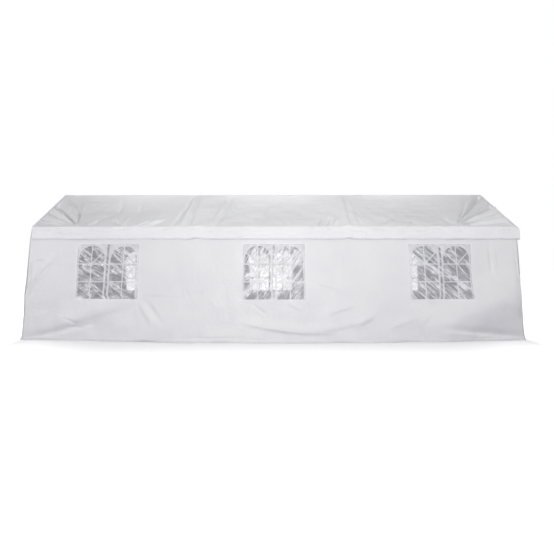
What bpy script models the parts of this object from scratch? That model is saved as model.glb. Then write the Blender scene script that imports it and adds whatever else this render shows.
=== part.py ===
"""Party tent with a gable roof: nine metres long, three metres wide, in three equal bays.

Four frames of steel tube carry one white roof cover. Long walls hang at the front and the back,
one sheet to a bay, each with a window of clear film. An end wall with a zipped door closes each
end. The ridge runs along X, the front faces -Y, and the ground is z = 0 under the tent's middle.
"""

import math

import bmesh
import bpy
import numpy as np
from mathutils import Matrix, Vector

# Frame, measured between tube axes
BAYS = 3
BAY = 2.98
LEG_Y = 1.47
EAVE_Z = 2.085
RISE = 0.795
TUBE_R = 0.019
SLEEVE_R = 0.022
SLEEVE = 0.12
SLIMMER = 0.0004
INSERT = 0.05
OVERLAP = 0.002
SIDES = 12
PLATE = 0.10
PLATE_T = 0.004
PEG_R = 0.006
PEG_AT = 0.034

# Sheets: every sheet is a surface thickened outwards
CLOTH = 0.003
GAP = 0.0003
COVER_LIFT = 0.0005
PANEL_GAP = 0.002
SAG = 0.045
VALANCE = 0.24
VALANCE_LEAN = 0.012
HEM_Z = 0.004
WALL_TOP = EAVE_Z + 0.008

# How far the hems stand outside the eaves, pegged out at the ground
SPREAD_MID = 0.40
SPREAD_CORNER = 0.03
SPREAD_END = 0.21
SPREAD_END_MID = 0.24
BOW_FROM = 0.25
CORNER_POWER = 5

# Windows and doors
WINDOW_X = 3.05
WINDOW_W = 1.14
WINDOW_H = 1.01
SILL_Z = 0.76
DOOR_W = 1.24
DOOR_TOP = 1.96

# Worked out from the values above
FRAME_X = [(i - BAYS / 2) * BAY for i in range(BAYS + 1)]
END_X = FRAME_X[-1]
PITCH = math.atan2(RISE, LEG_Y)
WALL_IN = SLEEVE_R + GAP
WALL_OUT = WALL_IN + CLOTH
COVER_IN = WALL_OUT + 0.0008
COVER_X = END_X + COVER_IN
COVER_Y = LEG_Y + COVER_IN
COVER_RIDGE_Z = EAVE_Z + RISE + (SLEEVE_R + COVER_LIFT) / math.cos(PITCH)
COVER_EAVE_Z = COVER_RIDGE_Z - COVER_Y * math.tan(PITCH)

COLOURS = {
    "white_cloth": ((0.86, 0.86, 0.88), 0.55, 0.0),
    "clear_film": ((0.62, 0.63, 0.66), 0.15, 0.0),
    "coated_steel": ((0.80, 0.80, 0.80), 0.35, 0.0),
    "steel_joint": ((0.72, 0.72, 0.73), 0.35, 0.0),
}


def clear_scene():
    for obj in list(bpy.data.objects):
        bpy.data.objects.remove(obj, do_unlink=True)


def collection(name):
    group = bpy.data.collections.new(name)
    bpy.context.scene.collection.children.link(group)
    return group


def material(kind, name):
    """A plain Principled material of one kind, named for the piece that wears it."""
    colour, roughness, metallic = COLOURS[kind]
    mat = bpy.data.materials.new(name + "_" + kind)
    mat.use_nodes = True
    shader = mat.node_tree.nodes["Principled BSDF"]
    shader.inputs["Base Color"].default_value = (*colour, 1.0)
    shader.inputs["Roughness"].default_value = roughness
    shader.inputs["Metallic"].default_value = metallic
    return mat


def place(group, name, mesh, kind, location=(0, 0, 0), turn=0.0):
    """One object of the tent. Copies share their mesh, so the material sits on the object."""
    obj = bpy.data.objects.new(name, mesh)
    group.objects.link(obj)
    obj.location = location
    obj.rotation_euler = (0, 0, turn)
    if not mesh.materials:
        mesh.materials.append(None)
    obj.material_slots[0].link = "OBJECT"
    obj.material_slots[0].material = material(kind, name)
    return obj


def finished(bm, name):
    """The mesh of a bmesh, smooth with sharp edges kept."""
    mesh = bpy.data.meshes.new(name)
    bm.to_mesh(mesh)
    bm.free()
    mesh.shade_smooth()
    mesh.set_sharp_from_angle(angle=math.radians(40))
    return mesh


def bar(start, end, radius):
    """The mesh of a round bar between two points."""
    start, end = Vector(start), Vector(end)
    turn = (end - start).to_track_quat("Z", "Y").to_matrix().to_4x4()
    bm = bmesh.new()
    bmesh.ops.create_cone(
        bm,
        cap_ends=True,
        segments=SIDES,
        radius1=radius,
        radius2=radius,
        depth=(end - start).length,
        matrix=Matrix.Translation((start + end) / 2) @ turn,
    )
    return finished(bm, "bar")


def box(size, centre):
    """The mesh of an upright box."""
    bm = bmesh.new()
    scale = Matrix.Diagonal((*size, 1.0))
    bmesh.ops.create_cube(bm, size=1.0, matrix=Matrix.Translation(centre) @ scale)
    return finished(bm, "box")


def combine(guides, obj, mesh, how):
    """Joins a mesh to an object, or cuts it out of it, with an exact Boolean."""
    other = bpy.data.objects.new(obj.name + "_" + how.lower(), mesh)
    guides.objects.link(other)
    other.location = obj.location
    other.rotation_euler = obj.rotation_euler
    other.hide_render = True
    other.display_type = "WIRE"
    modifier = obj.modifiers.new(how.title(), "BOOLEAN")
    modifier.operation = how
    modifier.solver = "EXACT"
    modifier.object = other


def bay_share(x):
    """Where x lies between the two frames beside it: 0 at one frame, 1 at the next."""
    marks = [-COVER_X, *FRAME_X[1:-1], COVER_X]
    return float(np.interp(x, marks, range(BAYS + 1))) % 1.0


def drop_share(z):
    """0 down to the eave tube that a wall hangs from, 1 at the ground."""
    return max(0.0, (EAVE_Z - z) / EAVE_Z)


def side_spread(x, z):
    """How far a long wall stands outside its top edge: most over its middle, least at corners."""
    reach = max(0.0, (abs(x) / COVER_X - BOW_FROM) / (1.0 - BOW_FROM))
    bow = 0.5 + 0.5 * math.cos(math.pi * min(1.0, reach))
    return drop_share(z) * (SPREAD_CORNER + (SPREAD_MID - SPREAD_CORNER) * bow)


def end_spread(y, z):
    """How far an end wall stands outside its top edge."""
    bow = math.cos(0.5 * math.pi * min(1.0, abs(y) / COVER_Y))
    return drop_share(z) * (SPREAD_END + (SPREAD_END_MID - SPREAD_END) * bow)


def drawn_out(along, length, spread, z):
    """A place along a wall, moved towards the corner that leans out, mostly close to it."""
    return along + math.copysign(spread * drop_share(z) * abs(along / length) ** CORNER_POWER, along)


def front_point(x, z, out):
    """A point of the front, out beyond the leg axes."""
    return Vector((drawn_out(x, COVER_X, SPREAD_END, z), -(LEG_Y + out + side_spread(x, z)), z))


def left_point(y, z, out):
    """A point of the left end, out beyond the leg axes."""
    return Vector((-(END_X + out + end_spread(y, z)), drawn_out(y, COVER_Y, SPREAD_CORNER, z), z))


def lines(*stretches):
    """Grid lines over stretches of (from, to, cells) that follow one another."""
    runs = [np.linspace(a, b, cells + 1) for a, b, cells in stretches]
    return [float(v) for v in np.unique(np.round(np.concatenate(runs), 7))]


def grid(across, up, point, hole=None):
    """A bmesh over two lists of grid lines, with a rectangle of cells left out as a hole."""
    cells, rows = len(across) - 1, len(up) - 1
    bm = bmesh.new()
    bmesh.ops.create_grid(bm, x_segments=cells, y_segments=rows, size=1.0)
    for vert in bm.verts:
        vert.co.x = across[round((vert.co.x + 1.0) / 2.0 * cells)]
        vert.co.y = up[round((vert.co.y + 1.0) / 2.0 * rows)]
    if hole:
        (left, right), (low, high) = hole
        centres = [(f, f.calc_center_median()) for f in bm.faces]
        gone = [f for f, c in centres if left < c.x < right and low < c.y < high]
        bmesh.ops.delete(bm, geom=gone, context="FACES")
    for vert in bm.verts:
        vert.co = point(vert.co.x, vert.co.y)
    return bm


def thicken(obj):
    modifier = obj.modifiers.new("Cloth", "SOLIDIFY")
    modifier.thickness = CLOTH
    modifier.offset = 1.0
    modifier.use_even_offset = True


def roof_point(x, y):
    """The underside of the roof: two slopes that hang a little between the frames."""
    slope = math.sin(math.pi * abs(y) / COVER_Y)
    hang = SAG * slope * math.sin(math.pi * bay_share(x)) ** 2
    return Vector((x, y, COVER_RIDGE_Z - abs(y) * math.tan(PITCH) - hang))


def valance_out(z):
    """How far out the valance hangs: clear of the wall, and a little more at its lower edge."""
    return COVER_IN + VALANCE_LEAN * (COVER_EAVE_Z - z) / VALANCE


def cover_point(x, path):
    """The roof and both long valances. Past the eave, path counts how far down the valance."""
    if abs(path) <= COVER_Y:
        return roof_point(x, path)
    z = COVER_EAVE_Z - (abs(path) - COVER_Y)
    front = front_point(x, z, valance_out(z))
    return front if path < 0 else Vector((front.x, -front.y, z))


def gable_point(y, path, side):
    """An end of the cover: valance rows up to path 0, then the gable up to the slopes."""
    if path <= 0.0:
        z = COVER_EAVE_Z + path
        left = left_point(y, z, valance_out(z))
        return Vector((-side * left.x, left.y, z))
    top = roof_point(side * COVER_X, y)
    return Vector((top.x, y, COVER_EAVE_Z + (top.z - COVER_EAVE_Z) * path))


def add_cover(group):
    """Roof slopes, gables and the valance all round, sewn as one sheet."""
    marks = [-COVER_X, *FRAME_X[1:-1], COVER_X]
    along = lines(*[(a, b, 6) for a, b in zip(marks, marks[1:])])
    across = lines((-COVER_Y, 0.0, 6), (0.0, COVER_Y, 6))
    low = COVER_Y + VALANCE
    path = lines((-low, -COVER_Y, 2), (-COVER_Y, 0.0, 6), (0.0, COVER_Y, 6), (COVER_Y, low, 2))
    bm = grid(along, path, cover_point)
    for side in (-1, 1):
        rows = lines((-VALANCE, 0.0, 2), (0.0, 1.0, 3))
        end = grid(across, rows, lambda y, p, side=side: gable_point(y, p, side))
        if side < 0:
            bmesh.ops.reverse_faces(end, faces=end.faces)
        patch = bpy.data.meshes.new("gable")
        end.to_mesh(patch)
        end.free()
        bm.from_mesh(patch)
        bpy.data.meshes.remove(patch)
    bmesh.ops.remove_doubles(bm, verts=bm.verts, dist=0.0001)
    bmesh.ops.dissolve_degenerate(bm, edges=bm.edges, dist=0.0001)
    thicken(place(group, "roof_cover", finished(bm, "roof_cover"), "white_cloth"))


def front_wall_mesh(bay):
    """One long wall sheet with its window cut through. The outer sheets reach the corners."""
    left = -(END_X + WALL_OUT) if bay == 0 else FRAME_X[bay] + PANEL_GAP / 2
    right = END_X + WALL_OUT if bay == BAYS - 1 else FRAME_X[bay + 1] - PANEL_GAP / 2
    middle = (bay - (BAYS - 1) / 2) * WINDOW_X
    sides = (middle - WINDOW_W / 2, middle + WINDOW_W / 2)
    heights = (SILL_Z, SILL_Z + WINDOW_H)
    across = lines((left, sides[0], 3), (*sides, 3), (sides[1], right, 3))
    up = lines((HEM_Z, heights[0], 3), (*heights, 3), (heights[1], EAVE_Z, 2), (EAVE_Z, WALL_TOP, 1))
    bm = grid(across, up, lambda x, z: front_point(x, z, WALL_IN), (sides, heights))
    return finished(bm, "long_wall")


def window_mesh(bay):
    """The clear film that fills a window, on the same surface as its wall."""
    middle = (bay - (BAYS - 1) / 2) * WINDOW_X
    half = WINDOW_W / 2 - GAP
    across = lines((middle - half, middle + half, 3))
    up = lines((SILL_Z + GAP, SILL_Z + WINDOW_H - GAP, 3))
    return finished(grid(across, up, lambda x, z: front_point(x, z, WALL_IN)), "window")


def add_long_walls(group):
    """Sheets and windows, numbered from the left as seen from the front."""
    for bay in range(BAYS):
        for label, mesh, kind in (
            ("wall", front_wall_mesh(bay), "white_cloth"),
            ("window", window_mesh(bay), "clear_film"),
        ):
            thicken(place(group, f"front_{label}_{bay + 1}", mesh, kind))
            behind = f"back_{label}_{BAYS - bay}"
            thicken(place(group, behind, mesh, kind, turn=math.pi))


def end_wall_mesh():
    """The left end wall, cut through for its door from the hem up."""
    edge = COVER_Y - COVER_IN + WALL_IN - PANEL_GAP
    half = DOOR_W / 2
    across = lines((-edge, -half, 3), (-half, half, 3), (half, edge, 3))
    up = lines((HEM_Z, DOOR_TOP, 5), (DOOR_TOP, EAVE_Z, 1), (EAVE_Z, WALL_TOP, 1))
    doorway = ((-half, half), (0.0, DOOR_TOP))
    bm = grid(across, up, lambda y, z: left_point(-y, z, WALL_IN), doorway)
    return finished(bm, "end_wall")


def door_mesh():
    """The zipped sheet that closes the doorway in the left end wall."""
    half = DOOR_W / 2 - GAP
    across = lines((-half, half, 3))
    up = lines((HEM_Z, DOOR_TOP - GAP, 5))
    return finished(grid(across, up, lambda y, z: left_point(-y, z, WALL_IN)), "door")


def add_end_walls(group):
    for label, mesh in (("wall", end_wall_mesh()), ("door", door_mesh())):
        thicken(place(group, f"left_end_{label}", mesh, "white_cloth"))
        thicken(place(group, f"right_end_{label}", mesh, "white_cloth", turn=math.pi))


def add_legs(group, guides):
    """Eight upright tubes, each welded to a foot plate with two peg holes."""
    top = EAVE_Z - SLEEVE + INSERT - GAP
    tube = bar((0, 0, PLATE_T / 2), (0, 0, top), TUBE_R)
    plate = box((PLATE, PLATE, PLATE_T), (0, 0, PLATE_T / 2))
    holes = [bar((x, x, -PLATE_T), (x, x, 2 * PLATE_T), PEG_R) for x in (-PEG_AT, PEG_AT)]
    for side, y in (("front", -LEG_Y), ("back", LEG_Y)):
        for i, x in enumerate(FRAME_X):
            leg = place(group, f"leg_{side}_{i + 1}", tube, "coated_steel", (x, y, 0))
            combine(guides, leg, plate, "UNION")
            for hole in holes:
                combine(guides, leg, hole, "DIFFERENCE")


def sleeve_along(place_in_row):
    """The sleeve along a row of tubes, short at the row's ends, and the ways its sockets face."""
    left = -SLEEVE_R if place_in_row == 0 else -SLEEVE
    right = SLEEVE_R if place_in_row == BAYS else SLEEVE
    ways = [Vector((x / SLEEVE, 0, 0)) for x in (left, right) if abs(x) == SLEEVE]
    return bar((left, 0, 0), (right, 0, 0), SLEEVE_R), ways


def socket(way):
    """The bore that a tube slides into at the far end of a sleeve."""
    return bar((SLEEVE - INSERT) * way, (SLEEVE + 0.01) * way, TUBE_R + GAP)


def add_eave_joints(group, guides):
    """Three-way and four-way joints: sleeves down to the leg, up the rafter and along the eave."""
    fall = Vector((0, 0, -1))
    climb = Vector((0, math.cos(PITCH), math.sin(PITCH)))
    drop = bar(-OVERLAP * 2 * fall, SLEEVE * fall, SLEEVE_R - SLIMMER)
    rafter = bar(-OVERLAP * climb, SLEEVE * climb, SLEEVE_R - 2 * SLIMMER)
    for i in range(BAYS + 1):
        for side, y, turn, row in (("front", -LEG_Y, 0.0, i), ("back", LEG_Y, math.pi, BAYS - i)):
            along, ways = sleeve_along(row)
            name = f"eave_joint_{side}_{i + 1}"
            joint = place(group, name, drop, "steel_joint", (FRAME_X[i], y, EAVE_Z), turn)
            combine(guides, joint, along, "UNION")
            combine(guides, joint, rafter, "UNION")
            for way in (fall, climb, *ways):
                combine(guides, joint, socket(way), "DIFFERENCE")


def add_rafter_pairs(group, guides):
    """Two rafters and the ridge joint that holds them, for each frame."""
    down = Vector((0, -math.cos(PITCH), -math.sin(PITCH)))
    length = LEG_Y / math.cos(PITCH) - SLEEVE + INSERT - GAP
    for i, x in enumerate(FRAME_X):
        sleeve, ways = sleeve_along(i)
        spot = (x, 0, EAVE_Z + RISE)
        pair = place(group, f"rafter_pair_{i + 1}", sleeve, "coated_steel", spot)
        for side, slimmer in ((1, SLIMMER), (-1, 2 * SLIMMER)):
            way = Vector((0, side * down.y, down.z))
            combine(guides, pair, bar(-OVERLAP * way, SLEEVE * way, SLEEVE_R - slimmer), "UNION")
            combine(guides, pair, bar((SLEEVE - INSERT) * way, length * way, TUBE_R), "UNION")
        for way in ways:
            combine(guides, pair, socket(way), "DIFFERENCE")


def add_long_tubes(group):
    """The ridge and eave tubes of each bay, end to end between the joints."""
    end = SLEEVE - INSERT + GAP
    tube = bar((end, 0, 0), (BAY - end, 0, 0), TUBE_R)
    rows = (
        ("ridge_tube", 0.0, EAVE_Z + RISE),
        ("eave_tube_front", -LEG_Y, EAVE_Z),
        ("eave_tube_back", LEG_Y, EAVE_Z),
    )
    for name, y, z in rows:
        for bay in range(BAYS):
            place(group, f"{name}_{bay + 1}", tube, "coated_steel", (FRAME_X[bay], y, z))


def main():
    clear_scene()
    tent = collection("marquee_tent")
    guides = collection("guides")
    add_legs(tent, guides)
    add_eave_joints(tent, guides)
    add_rafter_pairs(tent, guides)
    add_long_tubes(tent)
    add_cover(tent)
    add_long_walls(tent)
    add_end_walls(tent)


main()
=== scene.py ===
"""Marquee tent: the dressed model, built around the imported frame.

White sheets of woven polyethylene hang on a frame of coated steel tube: one roof cover with a
valance all round, three long walls on each side with a welded film window in each, and an end
wall with a zipped door at each end. Lengths are metres, the ridge runs along X, and the front
faces -Y. The front and the left end are worked out, and the back and the right end are the same
points turned by half a turn.
"""

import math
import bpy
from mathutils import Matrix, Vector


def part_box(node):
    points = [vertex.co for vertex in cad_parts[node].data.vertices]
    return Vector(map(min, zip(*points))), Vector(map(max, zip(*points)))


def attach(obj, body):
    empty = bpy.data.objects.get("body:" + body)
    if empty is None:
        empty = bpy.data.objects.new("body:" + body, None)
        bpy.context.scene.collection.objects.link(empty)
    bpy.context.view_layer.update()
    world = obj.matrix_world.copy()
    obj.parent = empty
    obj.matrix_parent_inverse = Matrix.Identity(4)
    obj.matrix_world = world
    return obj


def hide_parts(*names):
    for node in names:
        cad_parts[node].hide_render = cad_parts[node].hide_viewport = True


bl_info = {
    "name": "Marquee tent",
    "version": (1, 0, 0),
    "blender": (4, 5, 0),
    "location": "View3D > Sidebar > Tent",
    "description": "Roof cover, walls, windows, doors and steel frame of a gabled party tent",
    "category": "Object",
}

import bmesh
import bpy
import numpy as np

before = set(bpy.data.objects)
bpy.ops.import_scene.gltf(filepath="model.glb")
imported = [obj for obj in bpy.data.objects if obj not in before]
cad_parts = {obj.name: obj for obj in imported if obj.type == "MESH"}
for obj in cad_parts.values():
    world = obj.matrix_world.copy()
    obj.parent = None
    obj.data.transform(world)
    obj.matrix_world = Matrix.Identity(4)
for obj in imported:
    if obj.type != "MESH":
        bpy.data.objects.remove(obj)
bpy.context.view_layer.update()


def middle(node):
    """The middle of a CAD node's box."""
    low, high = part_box(node)
    return [float(v) for v in (low + high) / 2]


# The frame's axes, read from the CAD tubes
EAVE_Z = middle("eave_tube_front_2")[2]
RISE = middle("ridge_tube_2")[2] - EAVE_Z
LEG_Y = middle("leg_back_1")[1]
FRAME_X = [middle(f"leg_front_{i}")[0] for i in (1, 2, 3, 4)]
END_X = FRAME_X[-1]
SLOPE = RISE / LEG_Y
COS_PITCH = math.cos(math.atan2(RISE, LEG_Y))

# The sheets, as the CAD has them: how far they lie off the axes, and how thick they are
WALL_IN = 0.0223
COVER_IN = 0.0261
RIDGE_IN = 0.0225
SHEET = 0.003
WALL_MID = WALL_IN + SHEET / 2
WALL_LEAST = WALL_IN + 0.0007
WALL_X = END_X + WALL_IN + SHEET
WALL_Y = LEG_Y + WALL_IN + SHEET / 2
COVER_X = END_X + COVER_IN
COVER_Y = LEG_Y + COVER_IN
COVER_RIDGE_Z = EAVE_Z + RISE + RIDGE_IN / COS_PITCH
COVER_EAVE_Z = COVER_RIDGE_Z - COVER_Y * SLOPE
VALANCE = 0.24
HEM_Z = 0.004
WALL_TOP = EAVE_Z + 0.008

# How far the walls stand out at the ground, and the share of the length where the bow starts
SPREAD_MID = 0.40
SPREAD_CORNER = 0.03
SPREAD_END = 0.21
SPREAD_END_MID = 0.24
BOW_FROM = 0.25
CORNER_POWER = 5

# Windows, from the middle of one to the next, and doors
WINDOW_X = 3.05
WINDOW_W = 1.14
WINDOW_H = 1.01
SILL_Z = 0.76
WINDOW_TOP = SILL_Z + WINDOW_H
DOOR_W = 1.24
DOOR_TOP = 1.96

# Half a turn about the tent's upright middle line
HALF_TURN = np.array([-1.0, -1.0, 1.0])

# How far the corner at each end of the front stands out of its straight line, by height
CORNER_HEIGHTS = [0.0, 0.05, 0.2, 0.55, 0.85, 1.1, 1.35, 1.6, 1.85, 2.1]
LEFT_CORNER = [0.022, -0.015, -0.015, -0.008, 0.012, 0.002, 0.004, 0.009, 0.011, 0.0]
RIGHT_CORNER = [-0.050, -0.062, -0.070, -0.055, -0.042, -0.040, -0.032, -0.026, -0.024, 0.0]

# Folds in the front walls: from (x, z) to (x, z) in metres. Then in millimetres, the half width
# above and below the line, how far the cloth stands out there, and how far the line bends
WALL_FOLDS = (
    (-4.62, 0.06, -2.4, 0.775, 190, 85, 30, 0),
    (-4.4, 0.02, -3.1, 0.34, 50, 50, -16, 20),
    (-3.82, 0.41, -3.55, 0.3, 25, 25, -12, 0),
    (-3.56, 0.34, -3.64, 0.18, 22, 22, -12, 0),
    (-3.8, 0.25, -3.42, 0.22, 25, 25, -9, 0),
    (-2.46, 0.812, -1.72, 0.8, 22, 16, -11, 0),
    (-2.47, 0.76, -2.17, 0.28, 45, 45, 24, 0),
    (-2.4, 0.78, -1.98, 0.28, 45, 60, -26, 15),
    (-2.5, 0.7, -2.43, 0.2, 40, 40, 9, 0),
    (-4.12, 1.4, -4.3, 1.16, 22, 30, -11, 0),
    (-4.29, 1.34, -4.38, 0.82, 25, 35, -12, 0),
    (-4.36, 1.47, -4.2, 1.45, 18, 18, -11, 0),
    (-4.45, 0.98, -3.98, 1.62, 70, 50, 14, 0),
    (-4.445, 1.44, -4.445, 0.78, 18, 18, -34, 0),
    (-1.62, 0.98, -1.5, 0.72, 22, 22, -8, 0),
    (-1.42, 1.24, -1.37, 0.98, 20, 20, -6, 0),
    (-1.29, 0.92, -1.4, 0.74, 22, 22, -8, 0),
    (-1.15, 0.8, -1.05, 0.6, 30, 30, 7, 0),
    (-1.72, 0.085, -0.55, 0.09, 12, 16, -9, 0),
    (-0.62, 0.375, 1.12, 0.185, 120, 34, 30, -72),
    (0.7, 0.2, 1.9, 0.47, 110, 45, 19, -30),
    (0.24, 0.7, 0.52, 0.565, 60, 24, 11, 0),
    (0.58, 0.72, 0.69, 0.54, 25, 25, -10, 0),
    (0.92, 0.5, 1.46, 0.66, 70, 30, 12, 0),
    (0.62, 1.08, 1.28, 0.87, 22, 22, -8, 0),
    (-0.38, 0.68, -0.14, 0.49, 25, 25, -8, 0),
    (1.44, 0.24, 1.92, 0.56, 80, 45, 16, 20),
    (2.0, 0.2, 2.62, 0.44, 70, 40, 14, 20),
    (2.6, 0.24, 2.9, 0.62, 60, 50, 9, 0),
    (3.965, 1.86, 3.98, 1.2, 26, 26, -13, 0),
    (4.04, 1.84, 4.07, 1.16, 30, 40, 9, 0),
    (4.43, 1.9, 4.44, 0.3, 16, 16, -12, 0),
    (2.75, 0.02, 4.84, 1.08, 340, 480, 145, 50),
    (2.95, 0.24, 4.7, 0.035, 85, 42, -32, 0),
    (4.22, 0.8, 4.42, 0.46, 30, 26, 13, 0),
    (4.1, 0.78, 4.3, 0.52, 30, 26, 9, 0),
)

# Folds in the left end wall, from (y, z) to (y, z), in the same way
END_FOLDS = (
    (-1.42, 1.5, -1.05, 0.3, 70, 90, 16, 40),
    (-1.34, 1.4, -1.2, 0.55, 35, 45, -11, 0),
    (-0.68, 1.9, -1.25, 0.8, 50, 70, 11, 30),
    (-0.72, 1.7, -0.9, 0.95, 30, 40, -6, 0),
    (0.66, 1.88, 1.36, 0.25, 80, 60, 16, 50),
    (0.82, 1.9, 1.34, 1.0, 40, 50, -9, 0),
    (0.7, 0.55, 1.3, 0.1, 60, 40, 10, 20),
    (-0.34, 1.84, 0.22, 0.12, 60, 90, 10, 60),
    (0.3, 1.8, -0.28, 0.3, 50, 60, -8, 50),
    (-0.52, 0.7, 0.1, 0.08, 50, 40, 8, 20),
)

# Folds in the front slope of the cover, from (x, y) to (x, y), in the same way
ROOF_FOLDS = (
    (-1.71, -0.06, -1.9, -1.51, 34, 30, -46, 0),
    (-1.64, -0.05, -1.73, -1.51, 46, 46, 42, 0),
    (-1.58, -0.05, -1.57, -1.51, 30, 34, -44, -20),
    (-0.9, -0.04, -1.07, -1.5, 34, 38, -48, 20),
    (-0.99, -0.06, -1.16, -1.46, 50, 50, 26, 20),
    (-0.86, -0.16, -0.76, -0.66, 30, 30, 22, 0),
    (-0.06, -0.02, -0.18, -1.42, 34, 38, -36, -10),
    (-0.41, -1.08, -0.48, -1.47, 26, 26, -15, 0),
    (-4.34, -0.16, -3.92, -0.72, 30, 30, -20, 0),
    (-3.46, -1.5, -3.38, -1.08, 30, 30, -30, 0),
    (-3.11, -1.04, -2.8, -1.5, 34, 34, -36, 0),
    (-2.86, -0.92, -2.82, -1.5, 34, 34, 30, 0),
    (-2.45, -1.5, -2.12, -1.01, 30, 30, 27, 0),
    (-2.36, -1.5, -2.04, -1.06, 28, 28, -31, 0),
    (-2.6, -1.47, -2.26, -1.02, 30, 30, 23, 0),
    (-2.76, -0.16, -2.69, -0.92, 36, 36, -19, 0),
    (-3.2, -0.12, -3.1, -0.78, 40, 40, -24, 0),
    (0.82, -1.46, 0.99, -1.02, 22, 26, -27, 0),
    (0.875, -1.46, 1.04, -1.04, 22, 26, 23, 0),
    (0.93, -1.46, 1.1, -1.02, 22, 26, -27, 0),
    (1.01, -1.46, 1.15, -1.06, 22, 26, -23, 0),
    (1.12, -1.44, 1.27, -1.1, 24, 26, 19, 0),
    (1.48, 0.04, 1.405, -1.53, 70, 28, 30, 0),
    (1.62, 0.0, 1.56, -1.48, 60, 60, 12, 0),
    (1.6, -0.98, 1.66, -1.5, 30, 30, -15, 0),
    (1.98, -0.62, 2.26, -0.16, 26, 26, -10, 0),
    (2.1, -0.62, 2.38, -0.18, 30, 26, 12, 0),
    (2.1, -1.46, 2.3, -1.1, 26, 26, 23, 0),
    (2.44, -1.46, 2.64, -1.16, 26, 26, 20, 0),
    (2.88, -1.46, 3.14, -1.12, 26, 26, 23, 0),
    (2.66, -1.16, 2.74, -1.46, 26, 26, -19, 0),
    (3.28, -0.9, 3.4, -1.46, 60, 50, -18, 0),
    (0.18, -1.06, 0.3, -1.46, 30, 30, -12, 0),
    (4.44, -0.52, 4.34, -0.94, 30, 30, -20, 0),
    (-4.43, -1.1, -4.24, -1.4, 26, 26, -14, 0),
)

# Creases that run from one place at the eave up to the gable: the place, then for each its
# heading in degrees from the eave, its height in millimetres and its half width in degrees
LEFT_FAN = (-3.66, -1.46)
LEFT_RAYS = (
    (71, -26, 2.8), (61.5, 54, 3.2), (51.5, -50, 3.0), (44.5, 44, 2.6), (37, -14, 1.8),
    (31, 12, 2.0), (22, -26, 2.4), (15, 12, 2.2), (9, -10, 2.2),
)
RIGHT_FAN = (3.40, -1.46)
RIGHT_RAYS = (
    (61, -35, 2.4), (57.5, 43, 1.7), (53.5, -90, 1.8), (49.3, 90, 1.9), (45.5, -30, 1.3),
    (43, 35, 1.4), (38.5, -92, 2.0), (33.5, 90, 2.0), (29, -35, 1.5), (25, 40, 1.7),
    (20, -68, 2.0), (15, 55, 2.0), (10, -30, 1.7), (2, -25, 2.2),
)

# The film of each front window: its least haze, its painted glare, the slant of its streaks in
# degrees and how far its print sways at the sill. The back's film is calmer, with less haze and
# less painted glare
FRONT_FILM = ((0.32, 0.42, -33, -0.030), (0.35, 0.42, 58, 0.0), (0.34, 0.46, -42, 0.014))
BACK_FILM = (0.16, 0.09, -20)

# Lamps: name, place, the point that each faces, width and height, and power in watts
LAMPS = (
    ("front_middle", (0.0, -9.0, 4.6), (0.0, 0.0, 1.2), (4.0, 2.5), 326.0),
    ("front_left_low", (-9.0, -9.0, 3.0), (-1.0, 0.0, 1.2), (2.5, 2.0), 290.0),
    ("front_right_low", (9.0, -9.0, 3.0), (1.0, 0.0, 1.2), (2.5, 2.0), 154.0),
    ("near_right", (4.5, -7.0, 4.0), (0.0, 0.0, 1.0), (2.0, 2.0), 46.0),
    ("overhead", (0.0, 0.0, 8.0), (0.0, 0.001, 0.0), (9.0, 4.0), 187.0),
    ("left_end_high", (-12.5, -0.8, 5.0), (-4.5, 0.0, 1.4), (2.5, 2.5), 60.0),
    ("right_end_high", (12.5, -0.8, 5.0), (4.5, 0.0, 1.4), (2.5, 2.5), 82.0),
    ("left_end_low", (-12.5, 2.5, 2.0), (-4.5, 0.0, 1.2), (2.5, 2.0), 190.0),
    ("right_end_low", (12.5, 2.5, 2.0), (4.5, 0.0, 1.2), (2.5, 2.0), 190.0),
    ("back", (0.0, 12.0, 6.5), (0.0, 0.0, 1.2), (8.0, 4.0), 700.0),
)


def linear(hex_colour):
    """The linear value of an sRGB hex colour."""
    srgb = [int(hex_colour[i : i + 2], 16) / 255 for i in (1, 3, 5)]
    return [c / 12.92 if c <= 0.04045 else ((c + 0.055) / 1.055) ** 2.4 for c in srgb]


# Shapes


def joined(x, y, z):
    """Three coordinates, spread over the same grid, as one array of points."""
    return np.stack(np.broadcast_arrays(x, y, z), -1)


def ease(t):
    """A smooth step from 0 to 1: three t squared less two t cubed, held outside 0 to 1."""
    t = np.clip(t, 0.0, 1.0)
    return t * t * (3.0 - 2.0 * t)


def bell(t):
    """A bell 1 high: e to the power of minus t squared."""
    return np.exp(-(t**2))


def waves(u, v, size, seed, stretch=1.0):
    """Smooth random relief about 1 high: fourteen cosines of seeded heading, phase and length."""
    rng = np.random.default_rng(seed)
    turns, phases = rng.uniform(0, 2 * np.pi, (2, 14))
    total = 0.0
    for turn, phase, scale in zip(turns, phases, rng.uniform(0.7, 1.5, 14)):
        run = u * np.cos(turn) + v * np.sin(turn) * stretch
        total = total + np.cos(2 * np.pi * scale / size * run + phase)
    return total / math.sqrt(7.0)


def folds(u, v, table):
    """The sum of single folds. Each is a bell across its line, wider on one side, and runs out
    towards both ends as a sine to the power 0.7. Its line bends as a parabola."""
    total = np.zeros(np.broadcast(u, v).shape)
    for u0, v0, u1, v1, *millimetres in table:
        above, below, lift, bend = (value / 1000 for value in millimetres)
        length = math.hypot(u1 - u0, v1 - v0)
        along_u, along_v = (u1 - u0) / length, (v1 - v0) / length
        share = ((u - u0) * along_u + (v - v0) * along_v) / length
        inside = np.clip(share, 0.0, 1.0)
        across = (v - v0) * along_u - (u - u0) * along_v - bend * 4 * inside * (1 - inside)
        across = across * np.copysign(1.0, along_u)
        width = np.where(across > 0, above, below)
        total = total + lift * np.sin(np.pi * inside) ** 0.7 * bell(across / width)
    return total


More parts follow.
